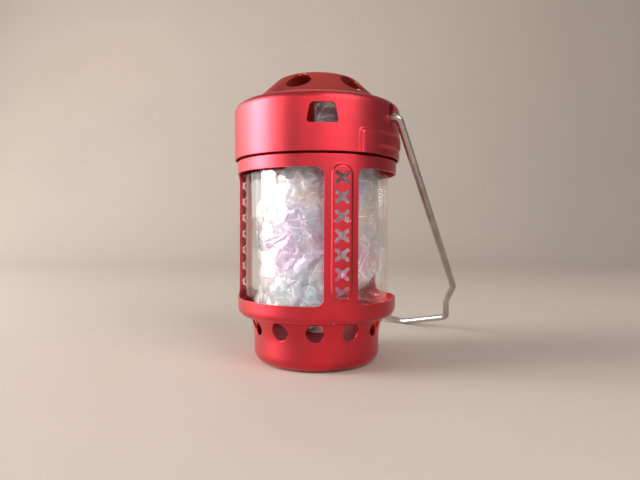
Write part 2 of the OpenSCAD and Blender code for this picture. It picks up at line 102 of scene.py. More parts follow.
def colour(name, rgb, text):
    return FloatVectorProperty(name=name, description=text, default=rgb, subtype="COLOR", min=0, max=1)


class LanternSizes(bpy.types.PropertyGroup):
    sheet: length("Sheet", 0.6, "Thickness of the drawn sheet")
    edge: length("Edge break", 0.11, "Rounding of every cut edge")
    cup_r: length("Cup radius", 20.5, "Outer radius of the base cup")
    cup_edge_r: length("Cup edge", 3.8, "Rounding under the cup")
    cup_straight_z: length("Cup wall top", 8, "Height where the neck starts to flare")
    neck_top_r: length("Neck radius", 22.3, "Outer radius at the top of the neck")
    seam_z: length("Seam height", 15, "Height where the cage sits on the cup")
    air_d: length("Air hole", 5.4, "Diameter of an air hole")
    air_z: length("Air hole height", 12.1, "Height of the air holes")
    air_az: angle("Air hole azimuth", -1.3, "Azimuth of the first air hole")
    air_count: IntProperty(name="Air holes", description="Number of air holes", default=12)
    cage_r: length("Cage radius", 25.8, "Outer radius of the cage")
    cage_edge_r: length("Cage edge", 2.8, "Rounding of the cage's lower edge")
    collar_step: length("Collar step", 0.6, "How far the collar steps in from the cage's wall")
    cap_gap: length("Cap gap", 0.5, "Open gap between the cage's ring and the cap's lower edge")
    opening_low_z: length("Opening bottom", 20.9, "Lower edge of the openings")
    opening_high_z: length("Opening top", 60.3, "Upper edge of the openings")
    opening_corner: length("Opening corner", 2.3, "Corner radius of the openings")
    pillar_w: length("Pillar width", 10.4, "Width of a pillar along the curve")
    pillar_az: angle("Pillar azimuth", 15.9, "Azimuth of the first pillar")
    bead_raise: length("Bead height", 0.55, "How far a pillar's bead stands out")
    bead_w: length("Bead width", 6.8, "Width of a bead at its foot")
    bead_flank: length("Bead flank", 0.75, "Width of a bead's sloped side")
    bead_low_z: length("Bead bottom", 21.9, "Lower end of a bead")
    bead_high_z: length("Bead top", 61.4, "Upper end of a bead")
    cross_w: length("Cross width", 4.35, "Width of an X-shaped cut-out")
    cross_h: length("Cross height", 3.85, "Height of an X-shaped cut-out")
    cross_arm: length("Cross arm", 1.2, "Width of a cut-out's arms")
    cross_eye: length("Cross eye", 2.1, "Diameter of the eye where the arms cross")
    cross_pitch: length("Cross pitch", 5.47, "Distance between two cut-outs")
    cross_mid_z: length("Cross row middle", 40.95, "Height of the middle of the row")
    cap_r: length("Cap radius", 26.8, "Outer radius of the cap")
    cap_shoulder: length("Cap shoulder", 2.7, "Rounding of the cap's shoulder")
    channel_raise: length("Channel height", 0.7, "How far a bayonet channel stands out")
    channel_az: angle("Channel azimuth", 28, "Azimuth of a channel's entry edge")
    entry_turn: angle("Entry width", 13, "Width of a channel's entry")
    track_turn: angle("Track length", 44, "Length of a channel's level track")
    track_low_z: length("Track bottom", 67.4, "Lower edge of the level track")
    track_high_z: length("Track top", 70.9, "Upper edge of the level track")
    vent_az: angle("Vent azimuth", 3.2, "Azimuth of the first vent window")
    vent_low_w: length("Vent bottom width", 9.4, "Width of a vent window at its lower edge")
    vent_high_w: length("Vent top width", 7, "Width of a vent window at its upper edge")
    vent_low_z: length("Vent bottom", 72.4, "Lower edge of the vent windows")
    vent_high_z: length("Vent top", 78, "Upper edge of the vent windows")
    vent_corner: length("Vent corner", 1.1, "Corner radius of the vent windows")
    slot_w: length("Slot width", 3.2, "Width of a bail slot")
    slot_h: length("Slot height", 5.4, "Height of a bail slot")
    dome_r: length("Dome radius", 21.3, "Radius of the dome's foot")
    dome_foot_z: length("Dome foot", 82.6, "Height where the dome's cone starts")
    crown_r: length("Crown radius", 13.2, "Radius where the cone meets the crown")
    crown_z: length("Crown height", 90.2, "Height where the cone meets the crown")
    dome_hole_d: length("Dome hole", 7.7, "Diameter of a vent hole in the dome")
    dome_hole_r: length("Dome hole circle", 16.5, "Radius at which the dome's holes lie")
    dome_hole_az: angle("Dome hole azimuth", -20, "Azimuth of the first hole")
    glass_wall: length("Glass wall", 1.4, "Thickness of the glass")
    wire_d: length("Wire", 2.4, "Diameter of the bail's wire")
    leg_x: length("Leg distance", 29, "Distance of a leg from the lantern's axis")
    leg_len: length("Leg length", 76.2, "Length of the straight legs")
    grip_x: length("Grip half width", 21.6, "Half width of the grip")
    grip_corner_y: length("Grip corner", 96.3, "Distance from the hinge to the grip's corners")
    grip_mid_y: length("Grip middle", 103.2, "Distance from the hinge to the grip's middle")
    hook_len: length("Hook length", 2.9, "Length of the wire's hooked end")


class LanternColours(bpy.types.PropertyGroup):
    red: colour("Red", (0.76, 0.003, 0.022), "Anodised red of cup, cage and cap")
    dome_red: colour("Dome red", (0.64, 0.045, 0.032), "Duller red of the dome")
    # Edge highlight pink: a painted highlight along convex edges, partly bare cut metal
    edge_highlight_pink: colour("Edge pink", (1.0, 0.33, 0.33), "Bare cut edges that show through the red")
    steel: colour("Steel", (0.60, 0.53, 0.50), "Satin steel of the bail")
    silver: colour("Film silver", (0.98, 0.96, 0.99), "Main tone of the film")
    film_grey: colour("Film grey", (0.88, 0.85, 0.91), "Tone of the film's shaded facets")
    lilac: colour("Film lilac", (0.72, 0.50, 0.86), "Lilac sheen of the film")
    mint: colour("Film mint", (0.55, 0.93, 0.86), "Mint sheen of the film")
    gold: colour("Film gold", (0.98, 0.78, 0.48), "Gold sheen of the film")
    pink: colour("Film pink", (1.0, 0.42, 0.64), "Pink sheen of the film")
    floor: colour("Floor", (0.54, 0.465, 0.405), "Pale floor and backdrop")


# ---- Surfaces ---------------------------------------------------------------


def corner_arc(p, radius, before, after, step):
    """The arc of that radius which rounds corner p between two unit directions."""
    turn = math.atan2(before[0] * after[1] - before[1] * after[0], float(before @ after))
    start = p - before * radius * math.tan(abs(turn) / 2)
    centre = start + math.copysign(radius, turn) * np.array([-before[1], before[0]])
    a = np.linspace(0, turn, max(2, math.ceil(abs(turn) / step) + 1))
    arm = start - centre
    x = arm[0] * np.cos(a) - arm[1] * np.sin(a)
    y = arm[0] * np.sin(a) + arm[1] * np.cos(a)
    return centre + np.stack([x, y], 1)


def profile(corners, spacing, step=math.radians(7)):
    """An outline through corners (x, y, rounding): straight lines joined by arcs, cut into short steps."""
    points = [np.array(corners[0][:2], float)]
    for a, b, c in zip(corners, corners[1:], corners[2:]):
        a, p, c, radius = np.array(a[:2]), np.array(b[:2], float), np.array(c[:2]), b[2]
        before, after = (p - a) / np.linalg.norm(p - a), (c - p) / np.linalg.norm(c - p)
        points.extend(corner_arc(p, radius, before, after, step) if radius > 0 else [p])
    points.append(np.array(corners[-1][:2], float))
    path = [points[0][None]]
    for a, b in zip(points, points[1:]):
        cuts = max(1, math.ceil(np.linalg.norm(b - a) / spacing))
        path.append(a + (b - a) * np.linspace(0, 1, cuts + 1)[1:, None])
    return np.concatenate(path)


def even_azimuths(count):
    return np.arange(count) * TURN / count


def nearest(a, first, count):
    """The angle from a to the nearest of count equal divisions that begin at first."""
    part = TURN / count
    return (a - first + part / 2) % part - part / 2


def smooth(x):
    x = np.clip(x, 0, 1)
    return x * x * (3 - 2 * x)


def box_distance(x, y, half_w, half_h, corner):
    """Signed distance to a rectangle with rounded corners, negative inside."""
    dx, dy = np.abs(x) - half_w + corner, np.abs(y) - half_h + corner
    outside = np.hypot(np.maximum(dx, 0), np.maximum(dy, 0))
    return outside + np.minimum(np.maximum(dx, dy), 0) - corner


def bar_distance(x, y, reach_x, reach_y, width):
    """Signed distance to a round-ended bar between two opposite points."""
    reach = math.hypot(reach_x, reach_y)
    along = (x * reach_x + y * reach_y) / reach
    across = (y * reach_x - x * reach_y) / reach
    return np.hypot(np.maximum(np.abs(along) - reach, 0), across) - width / 2


def trapezoid_distance(x, y, low_half, high_half, half_h, corner):
    """Signed distance to an upright trapezoid with rounded corners, negative inside."""
    slope = (low_half - high_half) / (2 * half_h)
    side = (np.abs(x) - (low_half + high_half) / 2 + slope * y) / math.hypot(1, slope) + corner
    end = np.abs(y) - half_h + corner
    outside = np.hypot(np.maximum(side, 0), np.maximum(end, 0))
    return outside + np.minimum(np.maximum(side, end), 0) - corner


def add_mesh(name, points, quads, uv=None, facet=None):
    """A smooth-shaded object from arrays of points, quads, and one uv pair or facet colour per point."""
    used, faces = np.unique(quads, return_inverse=True)
    faces = faces.reshape(-1, 4)
    mesh = bpy.data.meshes.new(name)
    mesh.vertices.add(len(used))
    mesh.vertices.foreach_set("co", points[used].astype(np.float32).ravel())
    mesh.loops.add(faces.size)
    mesh.loops.foreach_set("vertex_index", faces.astype(np.int32).ravel())
    mesh.polygons.add(len(faces))
    mesh.polygons.foreach_set("loop_start", np.arange(0, faces.size, 4, dtype=np.int32))
    mesh.update(calc_edges=True)
    if uv is not None:
        layer = mesh.uv_layers.new(name="Surface")
        layer.data.foreach_set("uv", uv[used][faces.ravel()].astype(np.float32).ravel())
    if facet is not None:
        layer = mesh.attributes.new("facet", "FLOAT_COLOR", "POINT")
        layer.data.foreach_set("color", facet[used].astype(np.float32).ravel())
    work = bmesh.new()
    work.from_mesh(mesh)
    bmesh.ops.remove_doubles(work, verts=work.verts, dist=1e-7)
    work.to_mesh(mesh)
    work.free()
    mesh.validate()
    mesh.shade_smooth()
    obj = bpy.data.objects.new(name, mesh)
    bpy.context.scene.collection.objects.link(obj)
    return obj


def turned_points(theta, r, z):
    return np.stack([r * np.sin(theta), -r * np.cos(theta), z], -1)


def grid_quads(rows, columns, closed):
    """Corners of the quads of a grid; closed joins the last column to the first."""
    i = np.arange(rows - 1)[:, None]
    j = np.arange(columns if closed else columns - 1)[None]
    k = (j + 1) % columns
    return np.stack([i * columns + j, i * columns + k, (i + 1) * columns + k, (i + 1) * columns + j], -1)


def turned_sheet(name, azimuths, path, lift=None, cuts=None, cell=0.5 * MM):
    """A profile (r, z) turned round the axis, raised by lift(theta, r, z), with holes where cuts < 0.

    Grid points that fall in a hole are dropped, and those next to its edge slide down the
    slope of the distance until they lie on it.
    """
    nudge = 1e-6       # step over which the slope is measured
    slides = 4         # times that a point slides
    least_slope = 0.2  # squared; keeps a slide short where the distance is flat
    arc = np.concatenate([[0], np.cumsum(np.linalg.norm(np.diff(path, axis=0), axis=1))])
    theta, t = np.meshgrid(azimuths, arc)
    quads = grid_quads(*theta.shape, closed=True).reshape(-1, 4)

    def place(at, along):
        return at, np.interp(along, arc, path[:, 0]), np.interp(along, arc, path[:, 1])

    if cuts is not None:
        inside = cuts(*place(theta, t)) < 0.3 * cell
        kept = ~inside.ravel()[quads].all(1)
        quads = quads[kept]
        edge = np.zeros(theta.size, bool)
        edge[quads.ravel()] = True
        edge = edge.reshape(theta.shape) & inside
        at, along = theta[edge], t[edge]
        for _ in range(slides):
            turn = nudge / np.interp(along, arc, path[:, 0])
            value = cuts(*place(at, along))
            by_theta = (cuts(*place(at + turn, along)) - cuts(*place(at - turn, along))) / (2 * nudge)
            by_t = (cuts(*place(at, along + nudge)) - cuts(*place(at, along - nudge))) / (2 * nudge)
            move = np.clip(value / np.maximum(by_theta**2 + by_t**2, least_slope), -cell, cell)
            at = at - move * by_theta * turn / nudge
            along = np.clip(along - move * by_t, 0, arc[-1])
        theta[edge], t[edge] = at, along
    _, r, z = place(theta, t)
    if lift is not None:
        r = r + lift(theta, r, z)
    uv = np.stack([theta / TURN, t / arc[-1]], -1).reshape(-1, 2)
    return add_mesh(name, turned_points(theta, r, z).reshape(-1, 3), quads, uv)


def tube(name, path, across, radius, sides):
    """A round wire: a circle of the given radius at each point, square to the path.

    across is the unit vector square to the plane that the path lies in.
    """
    heading = np.gradient(path, axis=0)
    heading /= np.linalg.norm(heading, axis=1)[:, None]
    side = np.cross(across, heading)
    a = even_azimuths(sides)[None, :, None]
    ring = side[:, None] * np.cos(a) - across[None, None] * np.sin(a)
    points = path[:, None] + ring * np.asarray(radius)[:, None, None]
    arc = np.concatenate([[0], np.cumsum(np.linalg.norm(np.diff(path, axis=0), axis=1))])
    u, v = np.meshgrid(np.arange(sides) / sides, arc / arc[-1])
    quads = grid_quads(len(path), sides, closed=True).reshape(-1, 4)[:, ::-1]
    return add_mesh(name, points.reshape(-1, 3), quads, np.stack([u, v], -1).reshape(-1, 2))


def facets(u, v, size, random):
    """Crushed sheet on the unrolled surface, where u wraps at 1 and v runs from 0 to 1.

    Random heights at the corners of a bent lattice, with each cell split along one diagonal and
    straight in between, so that flat facets meet in sharp creases. Gives the height from -1 to 1
    and three random numbers for each facet.
    """
    columns, rows = size
    margin = 2  # rows below the first one, which the bends may reach
    w = v * rows
    a = u * columns + 0.35 * np.sin(TURN * (u * 3 + w * 0.31)) + 0.25 * np.sin(TURN * (u * 5 - w * 0.43))
    b = w + 0.35 * np.sin(TURN * (u * 4 - w * 0.27)) + 0.25 * np.sin(TURN * (u * 7 + w * 0.37)) + margin
    i, j = np.floor(a).astype(int), np.floor(b).astype(int)
    fa, fb = a - i, b - j
    lattice = (rows + 3 * margin, columns)
    height = random.uniform(-1, 1, lattice)
    split = random.uniform(size=lattice) < 0.5
    chance = random.uniform(size=(*lattice, 2, 3))
    low, high, left, right = j, j + 1, i % columns, (i + 1) % columns
    h00, h10, h01, h11 = height[low, left], height[low, right], height[high, left], height[high, right]
    rising = split[low, left]
    first = np.where(rising, fa > fb, fa + fb < 1)
    falling_first = h00 + fa * (h10 - h00) + fb * (h01 - h00)
    falling_second = h11 + (1 - fa) * (h01 - h11) + (1 - fb) * (h10 - h11)
    rising_first = h00 + fa * (h10 - h00) + fb * (h11 - h10)
    rising_second = h00 + fb * (h01 - h00) + fa * (h11 - h01)
    level = np.where(rising, np.where(first, rising_first, rising_second),
                     np.where(first, falling_first, falling_second))
    return level, chance[low, left, first.astype(int)]


def give_wall(obj, thickness, edge):
    """Gives a sheet its thickness inwards, and breaks its cut edges."""
    wall = obj.modifiers.new("Wall", "SOLIDIFY")
    wall.thickness = thickness
    wall.offset = -1
    wall.use_even_offset = False
    rounding = obj.modifiers.new("Edges", "BEVEL")
    rounding.width = edge
    rounding.segments = 2
    rounding.limit_method = "ANGLE"
    rounding.angle_limit = math.radians(50)
    rounding.use_clamp_overlap = False
    rounding.harden_normals = True


def finish_piece(obj, material, body, node):
    """Gives a piece its material, the body it rides on and the node it stands for."""
    obj.data.materials.append(material)
    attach(obj, body)
    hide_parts(node)


# ---- Materials --------------------------------------------------------------


def darker(rgb, share):
    return tuple(c * share for c in rgb)


class Shader:
    """A material's node tree, with short ways to add and join nodes."""

    def __init__(self, name):
        self.material = bpy.data.materials.new(name)
        self.material.use_nodes = True
        self.tree = self.material.node_tree
        self.surface = self.tree.nodes["Principled BSDF"]
        self.coordinates = self.tree.nodes.new("ShaderNodeTexCoord")

    def add(self, kind, **settings):
        node = self.tree.nodes.new("ShaderNode" + kind)
        for key, value in settings.items():
            setattr(node, key, value)
        return node

    def join(self, value, target):
        """Links an output to the target socket, or sets the socket to a number or vector."""
        if isinstance(value, bpy.types.NodeSocket):
            self.tree.links.new(value, target)
        else:
            target.default_value = value

    def set(self, **values):
        for key, value in values.items():
            self.surface.inputs[key.replace("_", " ")].default_value = value

    def scaled(self, source, scale):
        """The source coordinates stretched by a scale for each axis."""
        mapping = self.add("Mapping")
        mapping.inputs["Scale"].default_value = scale
        self.join(self.coordinates.outputs[source], mapping.inputs["Vector"])
        return mapping.outputs["Vector"]

    def noise(self, vector, scale, detail=3.0, roughness=0.5, output="Fac"):
        node = self.add("TexNoise")
        node.inputs["Scale"].default_value = scale
        node.inputs["Detail"].default_value = detail
        node.inputs["Roughness"].default_value = roughness
        self.join(vector, node.inputs["Vector"])
        return node.outputs[output]

    def calculate(self, operation, *values):
        """A Math node of that operation. Each value is a number or an output."""
        node = self.add("Math", operation=operation)
        for value, target in zip(values, node.inputs):
            self.join(value, target)
        return node.outputs["Value"]

    def drifted(self, vector, drift, amount):
        """The vector shifted by a noise colour times the amount."""
        node = self.add("VectorMath", operation="MULTIPLY_ADD")
        for value, target in zip((drift, (amount,) * 3, vector), node.inputs):
            self.join(value, target)
        return node.outputs["Vector"]

    def remap(self, value, low, high, to_low, to_high):
        node = self.add("MapRange")
        for key, v in zip(("From Min", "From Max", "To Min", "To Max"), (low, high, to_low, to_high)):
            node.inputs[key].default_value = v
        self.join(value, node.inputs["Value"])
        return node.outputs["Result"]

    def mix(self, factor, a, b):
        """Colour a where factor is 0 and b where it is 1. Each is a colour or an output."""
        node = self.add("Mix", data_type="RGBA")
        sockets = [s for s in node.inputs if s.type == "RGBA"]
        for value, target in zip((a, b), sockets):
            self.join(value if isinstance(value, bpy.types.NodeSocket) else (*value, 1), target)
        self.join(factor, node.inputs["Factor"])
        return next(s for s in node.outputs if s.type == "RGBA")

    def mottle(self, pattern, rgb, share):
        """Colours the surface rgb, darkened to that share where the pattern is low."""
        tone = self.mix(self.remap(pattern, 0.3, 0.7, 0, 1), darker(rgb, share), rgb)
        self.join(tone, self.surface.inputs["Base Color"])

    def bump(self, height, strength, distance):
        node = self.add("Bump")
        node.inputs["Strength"].default_value = strength
        node.inputs["Distance"].default_value = distance
        self.join(height, node.inputs["Height"])
        self.join(node.outputs["Normal"], self.surface.inputs["Normal"])


def anodised(name, rgb, edge_highlight_rgb, roughness, coat=0.78):
    """Dyed aluminium: drawn lines up the wall, slight clouding, pale edges (a painted highlight, partly
    bare cut metal), a clear coat.
    """
    s = Shader(name)
    lines = s.noise(s.scaled("UV", (420, 1.5, 1)), 1.0, 4, 0.6)
    clouds = s.noise(s.scaled("Object", (1, 1, 0.5)), 90, 3)
    dark = darker(rgb, 0.66)
    body = s.mix(s.remap(clouds, 0.3, 0.7, 0, 1), dark, rgb)
    body = s.mix(s.remap(lines, 0.57, 0.70, 0, 0.6), body, dark)
    geometry = s.add("NewGeometry")
    # Painted highlight: convex edges found by pointiness turn pale pink, partly bare cut metal
    highlight_on_edges = s.remap(geometry.outputs["Pointiness"], 0.53, 0.60, 0, 0.85)
    s.join(s.mix(highlight_on_edges, body, edge_highlight_rgb), s.surface.inputs["Base Color"])
    s.join(s.remap(lines, 0.3, 0.7, roughness - 0.05, roughness + 0.08), s.surface.inputs["Roughness"])
    s.set(Metallic=1.0, Coat_Weight=coat, Coat_Roughness=0.42, Coat_IOR=1.6)
    s.bump(lines, 0.12, 0.00005)
    return s.material


def satin_steel(name, rgb):
    """Drawn steel wire: fine lines along its length and soft patches of tarnish."""
    s = Shader(name)
    lines = s.noise(s.scaled("UV", (40, 3, 1)), 3.0, 3)
    patches = s.noise(s.scaled("Object", (1, 1, 1)), 160, 4)
    tone = s.mix(s.remap(patches, 0.35, 0.7, 0, 1), rgb, darker(rgb, 0.72))
    s.join(tone, s.surface.inputs["Base Color"])
    s.join(s.remap(lines, 0.3, 0.7, 0.26, 0.40), s.surface.inputs["Roughness"])
    s.set(Metallic=1.0)
    s.bump(lines, 0.15, 0.00004)
    return s.material


def clear_glass(name):
    """Clear glass: see-through head on, and more mirror-like towards its edges."""
    s = Shader(name)
    layer = s.add("LayerWeight")
    layer.inputs["Blend"].default_value = 0.5
    edge = s.calculate("POWER", layer.outputs["Facing"], 4.0)
    waves = s.noise(s.scaled("Object", (1, 1, 0.25)), 60, 2)
    s.join(s.remap(edge, 0.0, 1.0, 0.045, 0.80), s.surface.inputs["Alpha"])
    s.set(Base_Color=(0.96, 0.98, 0.98, 1), Metallic=1.0, Roughness=0.03)
    s.bump(waves, 0.1, 0.0001)
    s.material.surface_render_method = "BLENDED"
    return s.material


def iridescent_film(name, colours, alpha):
    """Crushed film: silver facets that turn lilac, mint, gold and pink in places, with creases painted
    white as a painted highlight.
    """
    s = Shader(name)
    obj = s.scaled("Object", (1, 1, 1))
    facet = s.add("Attribute", attribute_name="facet")
    chance = s.add("SeparateColor")
    s.join(facet.outputs["Color"], chance.inputs["Color"])
    drift = s.noise(obj, 110, 3, output="Color")
    bent = s.drifted(obj, drift, 2.2 * MM)

    def creases(scale, width, strength, gaps_scale):
        """Painted highlight lines between cells, broken up by gaps, and the height of the cells."""
        cells = s.add("TexVoronoi", feature="DISTANCE_TO_EDGE")
        cells.inputs["Scale"].default_value = scale
        s.join(bent, cells.inputs["Vector"])
        line = s.remap(cells.outputs["Distance"], 0, width, strength, 0)
        gate = s.remap(s.noise(obj, gaps_scale, 2), 0.46, 0.54, 0, 1)
        return s.calculate("MULTIPLY", line, gate), cells.outputs["Distance"]

    long_lines, coarse = creases(90, 0.020, 1.0, 150)
    short_lines, fine = creases(260, 0.040, 0.8, 270)
    crease_glint = s.calculate("MAXIMUM", long_lines, short_lines)
    heights = s.calculate("MULTIPLY_ADD", fine, 0.35, coarse)

    # Patches of colour: the colour, its centre and reach in mm, and its strength
    tone = s.mix(chance.outputs["Red"], tuple(colours.film_grey), tuple(colours.silver))
    patches = (
        (colours.lilac, (-11, -18, 40), 13, 0.85),
        (colours.lilac, (-7, -19, 30), 8, 0.6),
        (colours.mint, (-3, -21, 26), 9, 0.7),
        (colours.mint, (-8, -18, 62), 6, 0.4),
        (colours.gold, (0, -21, 52), 7, 0.45),
        (colours.pink, (-1, -21, 60), 5, 0.5),
        *((colours.pink, (5, -17, z), 6.5, 1.0) for z in range(24, 60, 7)),
        (colours.pink, (5, -17, 77), 8, 0.5),
        (colours.pink, (14, -15, 31), 11, 0.95),
        (colours.gold, (17, -12, 48), 10, 0.6),
        (colours.lilac, (12, -17, 58), 9, 0.7),
        (colours.pink, (2, 20, 34), 14, 0.8),
        (colours.lilac, (19, 6, 48), 13, 0.8),
        (colours.mint, (-20, 6, 36), 14, 0.8),
        (colours.gold, (-8, 19, 52), 12, 0.6),
        (colours.gold, (-5, -13, 12), 6, 0.8),
    )
    raggedness = 20 * MM
    ragged = s.drifted(obj, drift, raggedness)
    for rgb, centre, reach, strength in patches:
        away = s.add("VectorMath", operation="DISTANCE")
        s.join(ragged, away.inputs[0])
        away.inputs[1].default_value = tuple(c * MM + raggedness / 2 for c in centre)
        near = s.remap(away.outputs["Value"], reach * MM, reach * 0.3 * MM, 0, strength)
        tone = s.mix(near, tone, tuple(rgb))
    tone = s.mix(s.remap(chance.outputs["Green"], 0.72, 0.80, 0, 0.6), tone, (0.97, 0.98, 1.0))
    tone = s.mix(s.remap(chance.outputs["Blue"], 0.86, 0.90, 0, 0.5), tone, tuple(colours.mint))
    # Painted highlight: the crease lines are painted white, standing in for glints along the folds
    tone = s.mix(crease_glint, tone, (1, 1, 1))
    s.join(tone, s.surface.inputs["Base Color"])
    s.join(s.remap(crease_glint, 0, 1, alpha, 1), s.surface.inputs["Alpha"])
    s.bump(heights, 0.5, 0.0012)
    s.join(s.remap(crease_glint, 0, 1, 0.26, 0.10), s.surface.inputs["Transmission Weight"])
    s.set(Metallic=0.16, Roughness=0.13, IOR=1.2, Coat_Weight=0.6, Coat_Roughness=0.11, Coat_IOR=1.5,
          Thin_Film_Thickness=380.0, Thin_Film_IOR=1.45)
    s.material.surface_render_method = "BLENDED"
    return s.material


def moulded_plastic(name, rgb, roughness=0.45):
    """Moulded plastic with a fine spark-eroded grain."""
    s = Shader(name)
    grain = s.noise(s.scaled("Object", (1, 1, 1)), 2200, 2)
    s.mottle(grain, rgb, 0.93)
    s.set(Roughness=roughness)
    s.bump(grain, 0.1, 0.00003)
    return s.material


def rolled_metal(name, rgb, roughness=0.3):
    """Rolled sheet metal with faint lines one way."""
    s = Shader(name)
    lines = s.noise(s.scaled("Object", (1, 0.05, 1)), 2500, 3)
    s.mottle(lines, rgb, 0.85)
    s.set(Metallic=1.0, Roughness=roughness)
    s.bump(lines, 0.1, 0.00002)
    return s.material


def pale_stage(name, rgb):
    """Matt pale floor and wall."""
    s = Shader(name)
    patches = s.noise(s.scaled("Object", (1, 1, 1)), 6, 4)
    s.mottle(patches, rgb, 0.96)
    s.set(Roughness=0.75, Specular_IOR_Level=0.25)
    return s.material


# ---- Pieces -----------------------------------------------------------------


class LANTERN_OT_stage(bpy.types.Operator):
    """Camera, lamps, and a pale floor that curves up into a backdrop"""

    bl_idname = "lantern.stage"
    bl_label = "Stage"

    def execute(self, context):
        scene = context.scene
        camera = bpy.data.objects.new("camera", bpy.data.cameras.new("camera"))
        scene.collection.objects.link(camera)
        camera.data.sensor_width = 36
        camera.data.lens = 28.0
        camera.data.clip_start = 5 * MM
        camera.location = (0, -165 * MM, 43.2 * MM)
        aim = Vector((0.0063, 1, -0.025))
        roll = Matrix.Rotation(0.0037, 3, "Z").to_quaternion()
        camera.rotation_euler = (aim.to_track_quat("-Z", "Y") @ roll).to_euler()
        scene.camera = camera

        front_y, back_y, top_z, bend_r, half_w = -1.2, 0.75, 1.3, 0.35, 1.8
        rise = profile([(front_y, 0, 0), (back_y, 0, bend_r), (back_y, top_z, 0)], 0.05)
        x = np.linspace(-half_w, half_w, 13)
        across, along = np.meshgrid(x, np.arange(len(rise)))
        points = np.stack([across, rise[along, 0], rise[along, 1]], -1).reshape(-1, 3)
        floor = add_mesh("floor", points, grid_quads(len(rise), len(x), closed=False).reshape(-1, 4))
        floor.data.materials.append(pale_stage("pale_floor", tuple(scene.lantern_colours.floor)))

        # Name, place and size in metres, watts, colour; each faces the middle of the lantern
        daylight = (1.0, 0.99, 0.98)
        lamps = (
            ("window", (-0.735, -0.09, 0.285), (0.36, 0.41), 7.4, daylight),
            ("haze", (-0.72, -0.02, 0.30), (1.20, 0.50), 3.9, daylight),
            ("sill", (-0.29, -0.045, 0.012), (0.12, 0.022), 0.05, daylight),
            ("front", (0.20, -0.75, 0.32), (1.30, 0.26), 1.8, daylight),
            ("fill", (0.38, -0.50, 0.52), (0.50, 0.50), 3.0, (1.0, 0.97, 0.96)),
            ("top", (0.0, 0.26, 0.78), (0.50, 0.50), 0.5, (1.0, 0.92, 0.88)),
        )
        target = Vector((0, 0, 0.05))
        for name, place, size, watts, rgb in lamps:
            data = bpy.data.lights.new(name, "AREA")
            data.shape = "RECTANGLE"
            data.size, data.size_y = size
            data.energy = watts
            data.color = rgb
            lamp = bpy.data.objects.new(name, data)
            lamp.location = place
            lamp.rotation_euler = (target - lamp.location).to_track_quat("-Z", "Y").to_euler()
            lamp.visible_camera = False
            scene.collection.objects.link(lamp)

        world = bpy.data.worlds.new("studio")
        scene.world = world
        world.use_nodes = True
        background = world.node_tree.nodes["Background"]
        background.inputs["Color"].default_value = (0.86, 0.87, 0.90, 1)
        background.inputs["Strength"].default_value = 0.20
        scene.view_settings.view_transform = "Standard"
        return {"FINISHED"}


class LANTERN_OT_cup(bpy.types.Operator):
    """Drawn cup: rounded foot, flared neck with air holes, rim nested in the cage"""

    bl_idname = "lantern.cup"
    bl_label = "Base cup"

    def execute(self, context):
        s, c = context.scene.lantern_sizes, context.scene.lantern_colours
        lean = 2 * math.atan((s.neck_top_r - s.cup_r) / (s.seam_z - s.cup_straight_z))
        sweep = (s.seam_z - s.cup_straight_z) / math.sin(lean)
        a = np.linspace(0, lean, 7)
        neck = [(s.cup_r + sweep * (1 - math.cos(k)), s.cup_straight_z + sweep * math.sin(k), 0) for k in a]
        rim_r = s.cage_r - s.sheet
        rim_z = s.seam_z + s.sheet
        rim = [(s.neck_top_r, rim_z, 0.1 * MM), (rim_r, rim_z, s.cage_edge_r - s.sheet),
               (rim_r, s.opening_low_z - 1.5 * MM, 0)]
        path = profile([(0, 0, 0), (s.cup_r, 0, s.cup_edge_r), *neck, *rim], 0.5 * MM)

        def air_holes(theta, r, z):
            aside = r * np.sin(nearest(theta, s.air_az, s.air_count))
            return np.where(z > s.cup_edge_r, np.hypot(aside, z - s.air_z) - s.air_d / 2, 1 * MM)

        cup = turned_sheet("base_cup_shell", even_azimuths(300), path, cuts=air_holes)
        give_wall(cup, s.sheet, s.edge)
        finish_piece(cup, anodised("red_cup", tuple(c.red), tuple(c.edge_highlight_pink), 0.37),
                     "lantern", "base_cup")
        return {"FINISHED"}


